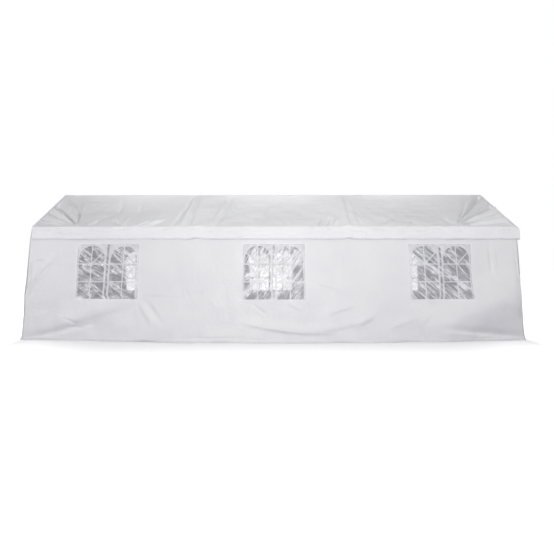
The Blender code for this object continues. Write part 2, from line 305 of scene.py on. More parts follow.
def fan(u, v, foot, rays, way):
    """Creases that spread from one point: each is a bell across its heading, as wide as its angle
    makes it there. They grow from nothing over half a metre and then sink evenly."""
    run, rise = (u - foot[0]) * way, v - foot[1]
    reach = np.hypot(run, rise)
    heading = np.degrees(np.arctan2(rise, run))
    total = sum(lift / 1000 * bell((heading - at) / wide) for at, lift, wide in rays)
    return total * ease(reach / 0.5) ** 0.7 * np.clip(1.25 - 0.38 * reach, 0.2, 1.0)


def drop_share(z):
    """0 at and above the eave tube, growing evenly to 1 at the ground."""
    return np.clip((EAVE_Z - z) / EAVE_Z, 0.0, None)


def side_spread(x, z):
    """How far a long wall stands outside its top edge: a cosine bow, most over its middle."""
    reach = np.clip((np.abs(x) / COVER_X - BOW_FROM) / (1.0 - BOW_FROM), 0.0, 1.0)
    bow = 0.5 + 0.5 * np.cos(np.pi * reach)
    return drop_share(z) * (SPREAD_CORNER + (SPREAD_MID - SPREAD_CORNER) * bow)


def end_spread(y, z):
    """How far an end wall stands outside its top edge: half a cosine across the end."""
    bow = np.cos(0.5 * np.pi * np.clip(np.abs(y) / COVER_Y, 0.0, 1.0))
    return drop_share(z) * (SPREAD_END + (SPREAD_END_MID - SPREAD_END) * bow)


def drawn_out(along, length, extra):
    """A place along a wall moved outwards by extra times its share of the length to the fifth."""
    return along + np.copysign(extra * np.abs(along / length) ** CORNER_POWER, along)


def corner_shift(along, z, power):
    """How far a corner stands off its line: a height profile for each end of the front, which
    dies away along the wall as a power of the share of its length."""
    left = np.interp(z, CORNER_HEIGHTS, LEFT_CORNER) * np.clip(-along, 0.0, 1.0) ** power
    return left + np.interp(z, CORNER_HEIGHTS, RIGHT_CORNER) * np.clip(along, 0.0, 1.0) ** power


def wall_relief(x, z):
    """How far the front's cloth stands out of its plain surface: named folds, long soft waves
    and a hem that curls out in places. It fades to nothing at the eave."""
    hang = ease((EAVE_Z - z) / 0.35)
    low = 0.5 + 0.7 * ease((1.3 - z) / 1.0)
    soft = (0.0045 * waves(x, z, 0.75, 3) + 0.0022 * waves(x, z, 0.33, 5)) * low
    fine = 0.0006 * np.abs(waves(x, z, 0.15, 8)) + 0.0005 * waves(x, z, 0.09, 9)
    tall = 0.0014 * waves(x, z, 0.40, 11, 0.25) * ease((1.9 - z) / 0.5)
    curl = 0.022 * ease((0.05 - z) / 0.05) * (0.6 + 0.6 * waves(x, 0.0, 1.1, 17))
    corner = 1.0 - np.clip(np.abs(x) / COVER_X, 0, 1) ** 90
    return hang * corner * (folds(x, z, WALL_FOLDS) + soft + fine + tall + curl)


def corner_round(z):
    """The radius of a wall's upright corner: nothing at the eave, 45 mm at the ground."""
    return 0.045 * np.sqrt(drop_share(z))


def front_point(x, z, out):
    """A point of the front: x drawn out at the corners, y by out, the lean, the bow and relief.
    The last stretch beside a corner turns back through a quarter of a circle."""
    place = drawn_out(x, COVER_X, SPREAD_END * drop_share(z))
    place = place + np.sign(x) * corner_shift(x / COVER_X, z, 9)
    radius = corner_round(z)
    left_over = np.clip(COVER_X - np.abs(x), 0.0, radius)
    angle = 0.5 * np.pi * (1.0 - left_over / np.maximum(radius, 1e-6))
    place = place + np.sign(x) * (left_over - radius * (1.0 - np.sin(angle)))
    away = np.maximum(out + side_spread(x, z) + wall_relief(x, z), WALL_LEAST)
    away = away - radius * (1.0 - np.cos(angle))
    return joined(place, -(LEG_Y + away), z)


def end_relief(y, z):
    """How far the left end's cloth bulges out: named folds, long soft waves, and a swelling
    beside the front."""
    hang = ease((EAVE_Z - z) / 0.4) * (1.0 - np.clip(np.abs(y) / COVER_Y, 0, 1) ** 20)
    soft = 0.006 * waves(y, z, 0.7, 23, 0.55) + 0.0012 * waves(y, z, 0.25, 29, 0.6)
    bulge = 0.030 * bell((y + 1.15) / 0.25) * bell((z - 0.95) / 0.4)
    return hang * (soft + bulge + folds(y, z, END_FOLDS))


def left_point(y, z, out):
    """A point of the left end: y drawn out at the corners, x by out, the lean, bow and relief."""
    place = drawn_out(y, COVER_Y, SPREAD_CORNER * drop_share(z) - corner_round(z))
    away = np.maximum(out + end_relief(y, z), WALL_LEAST) + end_spread(y, z)
    away = away + corner_shift(y / COVER_Y, z, 4)
    return joined(-(END_X + away), place, z)


def bay_share(x):
    """Where x lies between the two frames beside it: 0 at one frame, 1 at the next."""
    return np.interp(x, [-COVER_X, FRAME_X[1], FRAME_X[2], COVER_X], range(4)) % 1.0


def slope_relief(x, y):
    """How far a slope stands above its straight fall: it sags between frames, carries the named
    folds, and lifts a little where it turns over an eave joint. No tube is let through: beside
    one the cloth falls no more steeply than 1.2 to 1. The back is the front turned."""
    x, y = np.where(y > 0, -x, x), -np.abs(y)
    share = -y / COVER_Y
    taut = ease(share / 0.06) * ease((1.0 - share) / 0.03)
    off_ridge = np.clip((share - 0.018) / 0.982, 0.0, 1.0)
    sag = -0.096 * np.sin(np.pi * off_ridge**0.68) * np.sin(np.pi * bay_share(x)) ** 0.9
    soft = 0.0032 * waves(x, y, 0.50, 41) + 0.0016 * waves(x, y, 0.20, 43)
    soft = soft + 0.0006 * waves(x, y, 0.09, 44)
    joints = sum(bell((x - at) / 0.09) for at in (FRAME_X[1] + 0.05, FRAME_X[2] - 0.12))
    edge = ease((COVER_X - np.abs(x)) / 0.05)
    rim = 0.024 * joints + 0.0035 * edge * waves(x, 0.0, 0.30, 47)
    creases = fan(x, y, LEFT_FAN, LEFT_RAYS, -1.0) * (x < LEFT_FAN[0] + 0.3)
    creases = creases + fan(x, y, RIGHT_FAN, RIGHT_RAYS, 1.0) * (x > RIGHT_FAN[0] - 0.3)
    creases = creases + folds(x, y, ROOF_FOLDS)
    total = sag + taut * edge * (creases + soft) + rim * bell((share - 1.0) / 0.05)
    off_frame = np.min([np.abs(x - at) for at in FRAME_X], axis=0)
    off_tube = np.minimum(np.minimum(off_frame, -y), np.clip(LEG_Y + y, 0.0, None))
    return np.maximum(total, -0.0015 - 1.2 * np.clip(off_tube - 0.026, 0.0, None))


def roof_height(x, y):
    """The height of a slope: the ridge less the straight fall, plus its relief."""
    return COVER_RIDGE_Z + SHEET / 2 / COS_PITCH - np.abs(y) * SLOPE + slope_relief(x, y)


def valance_relief(x, down):
    """How far the valance stands out of its plain surface: long level wrinkles in the stitched
    band, and a kick where it passes a frame."""
    level = 0.0016 * waves(x, down, 0.11, 53) * ease(down / 0.03)
    level = level + 0.0030 * waves(x * 0.12, down, 0.075, 59) * ease(down / 0.04)
    kicks = sum(bell((x - at) / 0.16) for at in (-1.62, 1.58, 3.3))
    return level + 0.008 * kicks * ease(down / VALANCE)


def valance_lean(down):
    """How much further out the valance hangs than the cover's edge."""
    return 0.0115 * down / VALANCE


def end_flare(down, right):
    """How far the valance's corners stand out past the gable: the right one springs out just
    under the eave, as one less e to the minus depth, and the left one hangs straight."""
    share = down / VALANCE
    return right * 0.049 * (1.0 - np.exp(-share / 0.12)) + (1.0 - right) * 0.005 * share


def valance_point(x, down):
    """A point of the front valance, down being how far it hangs below the eave line."""
    z = roof_height(x, -COVER_Y) - down * (1.0 + 0.02 * bell((x + 1.55) / 0.2))
    place = drawn_out(x, COVER_X, end_flare(down, x > 0))
    relief = valance_relief(x, down) * ease((COVER_X - np.abs(x)) / 0.06)
    away = COVER_IN + valance_lean(down) + side_spread(x, z) + relief
    return joined(place, -(LEG_Y + away), z)


def end_valance_point(y, down):
    """A point of the left end's valance. Its edges meet those of the long valances."""
    z = roof_height(-COVER_X, -COVER_Y) - down
    place = drawn_out(y, COVER_Y, SPREAD_CORNER * drop_share(z) + valance_lean(down))
    inner = ease((COVER_Y - np.abs(y)) / 0.25)
    lean = end_spread(y, z) + valance_lean(down) + valance_relief(y + 7.0, down)
    away = COVER_IN + inner * lean + end_flare(down, 0.5 + 0.5 * y / COVER_Y)
    return joined(-(END_X + away), place, z)


def window_edges(bay, margin=0.0):
    """A window's left, right, lower and upper edge, each moved outwards by the margin."""
    centre, half = (bay - 1) * WINDOW_X, WINDOW_W / 2 + margin
    return centre - half, centre + half, SILL_Z - margin, WINDOW_TOP + margin


# Meshes


def spaced(*runs):
    """Grid lines for runs of a step and its marks: one on each mark, and none further apart than
    the step."""
    lines = []
    for step, *marks in runs:
        for a, b in zip(marks, marks[1:]):
            lines.append(np.linspace(a, b, max(2, math.ceil((b - a) / step) + 1)))
    return np.unique(np.round(np.concatenate(lines), 7))


def grid(across, up):
    """The two coordinates of a grid's points, and both together as its UV map."""
    u, v = np.meshgrid(across, up)
    return u, v, np.stack([u, v], -1)


def inset(u, v, left, right, low, high):
    """How far a point lies inside a rectangle: the least of its distances from the four sides."""
    return np.minimum(np.minimum(u - left, right - u), np.minimum(v - low, high - v))


def outside(across, up, *rectangle):
    """Which cells of a grid have their middle outside a rectangle."""
    u, v = np.meshgrid((across[1:] + across[:-1]) / 2, (up[1:] + up[:-1]) / 2)
    return inset(u, v, *rectangle) <= 0.0


def surface(points, uv, keep=None, flip=False):
    """The corners, faces and UVs of a grid of points, without the cells that keep leaves out."""
    rows, columns = points.shape[:2]
    index = np.arange(rows * columns).reshape(rows, columns)
    corners = [index[:-1, :-1], index[:-1, 1:], index[1:, 1:], index[1:, :-1]]
    faces = np.stack(corners[::-1] if flip else corners, -1)
    faces = faces.reshape(-1, 4) if keep is None else faces[keep]
    return points.reshape(-1, 3), faces, uv.reshape(-1, 2)


def add_piece(name, parts, material, weld=0.0002):
    """One object from several grids: joined, closed where their edges meet, and shaded smooth."""
    starts = np.cumsum([0] + [len(p[0]) for p in parts])
    points = np.concatenate([p[0] for p in parts])
    faces = np.concatenate([p[1] + start for p, start in zip(parts, starts)])
    uvs = np.concatenate([p[2] for p in parts])
    mesh = bpy.data.meshes.new(name)
    mesh.vertices.add(len(points))
    mesh.vertices.foreach_set("co", points.astype(np.float32).ravel())
    mesh.loops.add(faces.size)
    mesh.loops.foreach_set("vertex_index", faces.astype(np.int32).ravel())
    mesh.polygons.add(len(faces))
    mesh.polygons.foreach_set("loop_start", np.arange(0, faces.size, 4, dtype=np.int32))
    mesh.uv_layers.new(name="UVMap")
    mesh.uv_layers[0].data.foreach_set("uv", uvs[faces.ravel()].astype(np.float32).ravel())
    mesh.update(calc_edges=True)
    bm = bmesh.new()
    bm.from_mesh(mesh)
    bmesh.ops.remove_doubles(bm, verts=bm.verts, dist=weld)
    bmesh.ops.dissolve_degenerate(bm, edges=bm.edges, dist=weld / 2)
    loose = [v for v in bm.verts if not v.link_faces]
    bmesh.ops.delete(bm, geom=loose, context="VERTS")
    bm.to_mesh(mesh)
    bm.free()
    mesh.validate()
    mesh.shade_smooth()
    mesh.materials.append(material)
    obj = bpy.data.objects.new(name, mesh)
    bpy.context.scene.collection.objects.link(obj)
    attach(obj, "root")
    return obj


# Materials

# A noise's values lie mostly between these
NOISE = (0.3, 0.7)


def add(tree, kind, *inputs, gives=None, **settings):
    """Adds one node and gives its first output, or the one named. Inputs fill its sockets in
    order. Settings fill its attributes, or its sockets of those names with _ for a space.
    Another node's output is linked, and anything else is set."""
    node = tree.nodes.new(kind)
    named = []
    for name, value in settings.items():
        if hasattr(node, name):
            setattr(node, name, value)
        else:
            named.append((node.inputs[name.replace("_", " ")], value))
    in_order = [socket for socket in node.inputs if socket.enabled]
    for socket, value in [*zip(in_order, inputs), *named]:
        if isinstance(value, bpy.types.NodeSocket):
            tree.links.new(value, socket)
        else:
            socket.default_value = value
    outputs = {socket.name: socket for socket in node.outputs if socket.enabled}
    return outputs[gives] if gives else next(iter(outputs.values()), None)


def new_material(name):
    """An empty node material and its tree."""
    material = bpy.data.materials.new(name)
    material.use_nodes = True
    material.node_tree.nodes.clear()
    return material, material.node_tree


def wave_scale(spacing):
    """The Scale at which a Wave texture's bands repeat at a spacing, in metres."""
    return 2 * math.pi / spacing / 20


def woven_polyethylene(name, colour, shade):
    """Tarpaulin of woven polyethylene tapes, coated on both sides: a satin white with a faint
    square grain, a little uneven where it was folded, and finely crinkled."""
    material, tree = new_material(name)
    place = add(tree, "ShaderNodeTexCoord", gives="Object")
    uv = add(tree, "ShaderNodeTexCoord", gives="UV")
    # Tapes 2.5 mm wide are too fine to show, so they are drawn 8 mm wide
    tapes = {"wave_type": "BANDS", "Scale": wave_scale(0.016), "gives": "Fac"}
    warp = add(tree, "ShaderNodeTexWave", uv, bands_direction="X", **tapes)
    weft = add(tree, "ShaderNodeTexWave", uv, bands_direction="Y", **tapes)
    weave = add(tree, "ShaderNodeMath", warp, weft, operation="MULTIPLY")
    folded = {"Scale": 16.0, "Detail": 4.0, "Roughness": 0.55, "Distortion": 0.6}
    crinkle = add(tree, "ShaderNodeTexNoise", place, **folded)
    bump = add(tree, "ShaderNodeBump", Strength=0.35, Distance=0.0022, Height=crinkle)
    bump = add(tree, "ShaderNodeBump", Strength=0.25, Distance=0.0002, Height=weave, Normal=bump)
    patches = add(tree, "ShaderNodeTexNoise", place, Scale=1.3, Detail=3.0)
    amount = add(tree, "ShaderNodeMapRange", patches, *NOISE, 0.0, 1.0)
    tint = add(tree, "ShaderNodeMix", amount, (*colour, 1), (*shade, 1), data_type="RGBA")
    gloss = add(tree, "ShaderNodeMapRange", crinkle, *NOISE, 0.42, 0.58)
    look = {"Base_Color": tint, "Roughness": gloss, "IOR": 1.5, "Normal": bump}
    add(tree, "ShaderNodeOutputMaterial", add(tree, "ShaderNodeBsdfPrincipled", **look))
    return material


def printed_film(name, colours, haze, glare, heading):
    """Clear soft plastic film with a lattice printed on it in white: glossy, hazy by its least
    share, and rippled in long streaks that run at a slant in degrees. Glare is painted along
    the streaks: the film is drawn more opaque there by the share glare, and the print a little
    more opaque. The UV map counts metres, across from the window's middle and up from its sill."""
    material, tree = new_material(name)
    place = add(tree, "ShaderNodeTexCoord", gives="Object")
    uv = add(tree, "ShaderNodeTexCoord", gives="UV")
    crumpled = {"Scale": 5.0, "Detail": 5.0, "Roughness": 0.6, "Distortion": 1.4}
    clouds = add(tree, "ShaderNodeTexNoise", place, **crumpled)
    # A streak is about 300 mm long and 55 mm wide
    streak = {"Rotation": (0.0, -math.radians(heading), 0.0), "Scale": (0.30, 1.0, 0.055)}
    turn = add(tree, "ShaderNodeMapping", place, vector_type="TEXTURE", **streak)
    rippled = {"Scale": 1.0, "Detail": 3.0, "Roughness": 0.55, "Distortion": 1.1}
    streaks = add(tree, "ShaderNodeTexNoise", turn, **rippled)
    made = {
        "across": add(tree, "ShaderNodeSeparateXYZ", uv, gives="X"),
        "height": add(tree, "ShaderNodeSeparateXYZ", uv, gives="Y"),
        "clouds": clouds,
        "streaks": streaks,
        "cloud": add(tree, "ShaderNodeMapRange", clouds, *NOISE, 0.0, 1.0),
        # Painted glare: where the streaks are high the film is drawn more opaque, as if they
        # caught the light
        "bright": add(tree, "ShaderNodeMapRange", streaks, 0.45, 0.62, 0.0, 1.0),
    }
    sizes = bpy.context.scene.tent_sizes
    radius, half_bar = sizes.arch_radius, sizes.bar_width / 2
    gap, rim = sizes.centre_gap / 2, sizes.clear_rim
    # One sum a line: its name, the operation, and the numbers and earlier names that it takes
    for result, operation, *terms in (
        ("aside", "ABSOLUTE", "across"),
        ("off", "SUBTRACT", "aside", gap + sizes.strip_width + radius),
        ("off", "ABSOLUTE", "off"),
        ("ink", "GREATER_THAN", "off", radius),
        ("bar", "LESS_THAN", "off", half_bar),
        ("ink", "MAXIMUM", "ink", "bar"),
        ("bar", "COMPARE", "height", sizes.lower_bar, half_bar),
        ("ink", "MAXIMUM", "ink", "bar"),
        ("bar", "COMPARE", "height", sizes.upper_bar, half_bar),
        ("ink", "MAXIMUM", "ink", "bar"),
        ("rise", "SUBTRACT", "height", sizes.upper_bar),
        ("bar", "SUBTRACT", "rise", "off"),
        ("bar", "COMPARE", "bar", 0.0, half_bar * 1.24),
        ("over", "GREATER_THAN", "rise", 0.0),
        ("bar", "MULTIPLY", "bar", "over"),
        ("ink", "MAXIMUM", "ink", "bar"),
        ("above", "SUBTRACT", "height", sizes.arch_height),
        ("above", "MAXIMUM", "above", 0.0),
        ("above", "POWER", "above", 2.0),
        ("reach", "POWER", "off", 2.0),
        ("reach", "ADD", "reach", "above"),
        ("reach", "SQRT", "reach"),
        ("arch", "GREATER_THAN", "reach", radius),
        ("ink", "MAXIMUM", "ink", "arch"),
        ("room", "GREATER_THAN", "aside", gap),
        ("ink", "MULTIPLY", "ink", "room"),
        # The print stops short of the weld, so a clear line shows dark round it
        ("room", "LESS_THAN", "aside", WINDOW_W / 2 - rim),
        ("ink", "MULTIPLY", "ink", "room"),
        ("room", "LESS_THAN", "height", WINDOW_H - rim),
        ("ink", "MULTIPLY", "ink", "room"),
        # Haze, with painted glare along the streaks; the print is drawn a little more opaque there
        # too
        ("veil", "MULTIPLY_ADD", "cloud", 0.12, haze),
        ("veil", "MULTIPLY_ADD", "bright", glare, "veil"),
        ("print", "MULTIPLY_ADD", "bright", 0.08, 0.88),
        ("print", "MULTIPLY", "ink", "print"),
        ("shown", "MAXIMUM", "veil", "print"),
        ("gloss", "MULTIPLY_ADD", "ink", 0.25, 0.14),
        ("ripples", "ADD", "clouds", "streaks"),
    ):
        terms = [made.get(term, term) for term in terms]
        made[result] = add(tree, "ShaderNodeMath", *terms, operation=operation)

    bump = add(tree, "ShaderNodeBump", Strength=0.7, Distance=0.012, Height=made["ripples"])
    clear, ink = (*colours.film, 1), (*colours.ink, 1)
    tint = add(tree, "ShaderNodeMix", made["ink"], clear, ink, data_type="RGBA")
    look = {"Base_Color": tint, "Roughness": made["gloss"], "Alpha": made["shown"]}
    shader = add(tree, "ShaderNodeBsdfPrincipled", IOR=1.52, Normal=bump, **look)
    add(tree, "ShaderNodeOutputMaterial", shader)
    return material


def welded_seam(name, colour):
    """Polyethylene pressed by a heated tool onto the film: smoother than the cloth, with a fine
    embossed criss-cross."""
    material, tree = new_material(name)
    place = add(tree, "ShaderNodeTexCoord", gives="Object")
    uv = add(tree, "ShaderNodeTexCoord", gives="UV")
    turn = add(tree, "ShaderNodeMapping", uv, Rotation=(0.0, 0.0, math.radians(45)))
    # The tool's ribs are 2 mm apart and are drawn 6 mm apart so that they show
    ribs = add(tree, "ShaderNodeTexChecker", turn, Scale=1 / 0.006, gives="Fac")
    bump = add(tree, "ShaderNodeBump", Strength=0.4, Distance=0.0003, Height=ribs)
    cloud = add(tree, "ShaderNodeTexNoise", place, Scale=30.0, Detail=2.0)
    gloss = add(tree, "ShaderNodeMapRange", cloud, *NOISE, 0.28, 0.42)
    look = {"Base_Color": (*colour, 1), "Roughness": gloss, "IOR": 1.5, "Normal": bump}
    add(tree, "ShaderNodeOutputMaterial", add(tree, "ShaderNodeBsdfPrincipled", **look))
    return material


def stitched_hem(name, colour, thread):
    """The cloth turned over and sewn with rows of polyester thread along the fold."""
    material, tree = new_material(name)
    place = add(tree, "ShaderNodeTexCoord", gives="Object")
    uv = add(tree, "ShaderNodeTexCoord", gives="UV")
    # The thread is the pattern's mortar, in rows 12 mm apart that are crossed every 8 mm. Real
    # thread is 0.5 mm thick and is drawn 2 mm thick
    rows = {"Mortar_Size": 0.001, "Brick_Width": 0.008, "Row_Height": 0.012, "gives": "Fac"}
    rows = add(tree, "ShaderNodeTexBrick", uv, offset=0.0, squash=1.0, Scale=1.0, **rows)
    cloud = add(tree, "ShaderNodeTexNoise", place, Scale=22.0, Detail=3.0)
    lump = add(tree, "ShaderNodeMath", cloud, rows, operation="ADD")
    bump = add(tree, "ShaderNodeBump", Strength=0.5, Distance=0.0008, Height=lump)
    tint = add(tree, "ShaderNodeMix", rows, (*colour, 1), (*thread, 1), data_type="RGBA")
    look = {"Base_Color": tint, "Roughness": 0.55, "IOR": 1.5, "Normal": bump}
    add(tree, "ShaderNodeOutputMaterial", add(tree, "ShaderNodeBsdfPrincipled", **look))
    return material


def coil_zip(name, tape, teeth):
    """A nylon coil zip on woven polyester tape: close cross ribs down the middle line."""
    material, tree = new_material(name)
    uv = add(tree, "ShaderNodeTexCoord", gives="UV")
    # The coil's turns are 1.5 mm apart and are drawn 5 mm apart, over 12 mm of the tape
    turns = {"wave_type": "BANDS", "bands_direction": "Y", "Scale": wave_scale(0.005)}
    ribs = add(tree, "ShaderNodeTexWave", uv, gives="Fac", **turns)
    aside = add(tree, "ShaderNodeSeparateXYZ", uv, gives="X")
    coil = add(tree, "ShaderNodeMath", aside, 0.0, 0.006, operation="COMPARE")
    height = add(tree, "ShaderNodeMath", ribs, coil, operation="MULTIPLY")
    bump = add(tree, "ShaderNodeBump", Strength=0.8, Distance=0.0012, Height=height)
    tint = add(tree, "ShaderNodeMix", height, (*tape, 1), (*teeth, 1), data_type="RGBA")
    look = {"Base_Color": tint, "Roughness": 0.5, "IOR": 1.53, "Normal": bump}
    add(tree, "ShaderNodeOutputMaterial", add(tree, "ShaderNodeBsdfPrincipled", **look))
    return material


def powder_coated_steel(name, colour):
    """Steel tube under baked powder paint: semi-gloss with a fine orange peel, and dulled a
    little where it is scuffed."""
    material, tree = new_material(name)
    place = add(tree, "ShaderNodeTexCoord", gives="Object")
    # Orange peel has lumps about 2 mm across, drawn 4 mm across
    peel = add(tree, "ShaderNodeTexNoise", place, Scale=250.0, Detail=2.0)
    bump = add(tree, "ShaderNodeBump", Strength=0.25, Distance=0.0003, Height=peel)
    scuff = add(tree, "ShaderNodeTexNoise", place, Scale=9.0, Detail=5.0, Roughness=0.65)
    gloss = add(tree, "ShaderNodeMapRange", scuff, 0.35, 0.7, 0.26, 0.44)
    dull = add(tree, "ShaderNodeMapRange", scuff, 0.55, 0.8, 0.0, 0.5)
    worn = [c * 0.8 for c in colour]
    tint = add(tree, "ShaderNodeMix", dull, (*colour, 1), (*worn, 1), data_type="RGBA")
    look = {"Base_Color": tint, "Roughness": gloss, "IOR": 1.5, "Normal": bump}
    add(tree, "ShaderNodeOutputMaterial", add(tree, "ShaderNodeBsdfPrincipled", **look))
    return material


def zinc_plated_steel(name, colour):
    """Spring steel plated with zinc: a dull metal, slightly clouded."""
    material, tree = new_material(name)
    place = add(tree, "ShaderNodeTexCoord", gives="Object")
    cloud = add(tree, "ShaderNodeTexNoise", place, Scale=300.0, Detail=2.0)
    gloss = add(tree, "ShaderNodeMapRange", cloud, *NOISE, 0.28, 0.45)
    look = {"Base_Color": (*colour, 1), "Metallic": 1.0, "Roughness": gloss}
    add(tree, "ShaderNodeOutputMaterial", add(tree, "ShaderNodeBsdfPrincipled", **look))
    return material


def floor_with_painted_shadow(name):
    """A matt pale floor. Its glow, which only the camera sees, is painted light: least at the
    walls' feet, as a painted contact shadow, and more away from the tent, so that it shows no
    horizon. It throws back less light than it shows, so that the walls' folds keep their shade."""
    material, tree = new_material(name)
    place = add(tree, "ShaderNodeTexCoord", gives="Object")
    cloud = add(tree, "ShaderNodeTexNoise", place, Scale=0.6, Detail=2.0)
    gloss = add(tree, "ShaderNodeMapRange", cloud, *NOISE, 0.75, 0.85)
    # How far a place lies beyond the walls' feet, with more weight along the tent than across,
    # from a line a little right of the middle: the painted shadow fades out with it
    smooth = {"interpolation_type": "SMOOTHSTEP"}
    middle_line, weight, least = (0.02, 0.0, 0.0), (4.5, 0.31, 0.0), (0.0, 0.0, 0.0)
    plan = add(tree, "ShaderNodeVectorMath", place, middle_line, operation="SUBTRACT")
    plan = add(tree, "ShaderNodeVectorMath", plan, operation="ABSOLUTE")
    along = add(tree, "ShaderNodeSeparateXYZ", plan, gives="X")
    bow = (2.6, 4.7, LEG_Y + SPREAD_MID, LEG_Y - 0.82)
    front = add(tree, "ShaderNodeMapRange", along, *bow, **smooth)
    foot = add(tree, "ShaderNodeCombineXYZ", END_X + SPREAD_END - 0.06, front)
    for operation, by in (("SUBTRACT", foot), ("MAXIMUM", least), ("MULTIPLY", weight)):
        plan = add(tree, "ShaderNodeVectorMath", plan, by, operation=operation)
    reach = add(tree, "ShaderNodeVectorMath", plan, operation="LENGTH")
    # Painted light: the glow is least at the feet, a painted contact shadow, and full away from
    # the tent
    glow = add(tree, "ShaderNodeMapRange", reach, 0.0, 1.2, 0.165, 1.0, **smooth)
    seen = add(tree, "ShaderNodeLightPath", gives="Is Camera Ray")
    glow = add(tree, "ShaderNodeMath", glow, seen, operation="MULTIPLY")
    lit, shown = (0.38, 0.374, 0.445, 1), (0.86, 0.86, 0.865, 1)
    tone = add(tree, "ShaderNodeMix", seen, lit, shown, data_type="RGBA")
    look = {"Base_Color": tone, "Roughness": gloss, "Specular_IOR_Level": 0.1}
    look = {**look, "Emission_Color": (1, 1, 1, 1), "Emission_Strength": glow}
    add(tree, "ShaderNodeOutputMaterial", add(tree, "ShaderNodeBsdfPrincipled", **look))
    return material


def studio_walls(name):
    """A world that looks white, but lights the tent much less than the lamps do, and less
    overhead than from the sides."""
    world = bpy.data.worlds.new(name)
    world.use_nodes = True
    tree = world.node_tree
    tree.nodes.clear()
    place = add(tree, "ShaderNodeTexCoord", gives="Generated")
    climb = add(tree, "ShaderNodeSeparateXYZ", place, gives="Z")
    fall = add(tree, "ShaderNodeMapRange", climb, 0.35, 0.7, 0.30, 0.0)
    seen = add(tree, "ShaderNodeLightPath", gives="Is Camera Ray")
    power = add(tree, "ShaderNodeMath", fall, seen, operation="MAXIMUM")
    lit, shown = (0.97, 0.965, 1.04, 1), (1, 1, 1, 1)
    tone = add(tree, "ShaderNodeMix", seen, lit, shown, data_type="RGBA")
    glow = add(tree, "ShaderNodeBackground", Color=tone, Strength=power)
    add(tree, "ShaderNodeOutputWorld", glow)
    return world


# Settings that a user would change


def length_setting(name, default, description, **limits):
    """A setting that holds a length in metres."""
    return bpy.props.FloatProperty(
        name=name, description=description, default=default, unit="LENGTH", **limits
    )


def colour_setting(name, hex_colour, description):
    """A setting that holds a colour, given as sRGB hex and kept as linear values."""
    return bpy.props.FloatVectorProperty(
        name=name, description=description, default=linear(hex_colour), subtype="COLOR"
    )


class TentSizes(bpy.types.PropertyGroup):
    """Sizes of the tent's sheets and of the windows' print."""

    cloth_step: length_setting("Cloth step", 0.012, "Grid spacing of the long walls", min=0.005)
    end_step: length_setting("End cloth step", 0.017, "Grid spacing of the end walls", min=0.005)
    film_step: length_setting("Film step", 0.012, "Grid spacing of the window film", min=0.005)
    strip_width: length_setting("Strip", 0.035, "Width of the print beside the middle gap")
    centre_gap: length_setting("Middle gap", 0.037, "Clear film between the two arched lights")
    clear_rim: length_setting("Clear rim", 0.009, "Unprinted film inside the weld")
    bar_width: length_setting("Bar", 0.021, "Width of the printed glazing bars")
    arch_radius: length_setting("Arch radius", 0.242, "Radius of each light's round head")
    arch_height: length_setting("Arch height", 0.738, "Height of the arch's centre above the sill")
    lower_bar: length_setting("Lower bar", 0.32, "Height of the lower bar above the sill")
    upper_bar: length_setting("Upper bar", 0.645, "Height of the upper bar above the sill")
    weld_width: length_setting("Weld", 0.028, "Width of the welded border round a window")
    hem_width: length_setting("Hem", 0.026, "Width of the stitched hems")


class TentColours(bpy.types.PropertyGroup):
    """Colours of the tent's materials, as linear values."""

    # The roof cloth is the walls' polyethylene drawn lighter: painted light, so that the valance
    # shows brighter than the wall under it
    roof: colour_setting("Roof cloth", "#f0f0f1", "Colour of the roof cover")
    wall: colour_setting("Wall cloth", "#e9e9e9", "Colour of the walls")
    film: colour_setting("Film", "#ededf0", "Tint of the clear film")
    ink: colour_setting("Print", "#e4e4e6", "Colour of the printed lattice")
    steel: colour_setting("Steel", "#e2e2e2", "Colour of the coated frame")


# Pieces


class TENT_OT_roof_cover(bpy.types.Operator):
    """Make the roof cover: slopes, gables and valance as one sheet"""

    bl_idname = "tent.roof_cover"
    bl_label = "Roof cover"

    def execute(self, context):
        """Joins four kinds of grid: the slopes, and on each side or end a long valance, a gable
        that bulges as a sine, and an end valance. Their lines are closest at creases and edges."""
        colours = context.scene.tent_colours
        # The cover's cloth is drawn lighter than the walls': painted light for the brighter
        # valance
        cloth = woven_polyethylene("woven_polyethylene_roof", colours.roof, linear("#ebebec"))
        rim, crown, band = COVER_Y - 0.05, 0.03, 0.028
        along = spaced(
            (0.014, -COVER_X, -3.2),
            (0.021, -3.2, -1.95),
            (0.019, -1.95, -0.8),
            (0.030, -0.8, 0.7),
            (0.017, 0.7, 1.7),
            (0.027, 1.7, 3.2),
            (0.014, 3.2, COVER_X),
        )
        across = spaced(
            (0.008, -COVER_Y, -rim),
            (0.017, -rim, -crown),
            (0.008, -crown, crown),
            (0.036, crown, rim),
            (0.010, rim, COVER_Y),
        )
        down = spaced((0.007, 0.0, band), (0.020, band, VALANCE))
        x, y = np.meshgrid(along, across)
        uv = np.stack([x, y / COS_PITCH], -1)
        parts = [surface(joined(x, y, roof_height(x, y)), uv)]

        x, depth = np.meshgrid(along, down)
        long_uv = np.stack([x, -COVER_Y / COS_PITCH - depth], -1)
        y, share = np.meshgrid(across, np.linspace(0, 1, 15))
        eave, top = roof_height(-COVER_X, -COVER_Y), roof_height(-COVER_X, y)
        inner = np.sin(np.pi * share) * (1 - np.abs(y) / COVER_Y)
        bulge = inner * (0.02 + 0.006 * waves(y, share, 0.5, 61))
        gable = joined(-COVER_X - bulge, y, eave + (top - eave) * share)
        end_y, end_depth = np.meshgrid(across, down)
        end_uv = np.stack([end_y, COVER_EAVE_Z - end_depth], -1)
        for points, uv, flip in (
            (valance_point(x, depth), long_uv, True),
            (gable, gable[..., 1:], True),
            (end_valance_point(end_y, end_depth), end_uv, False),
        ):
            parts.append(surface(points, uv, flip=flip))
            parts.append(surface(points * HALF_TURN, uv, flip=flip))
        cover = add_piece("roof_cover_sheet", parts, cloth, 0.0006)
        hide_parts("roof_cover")
        return {"FINISHED"}


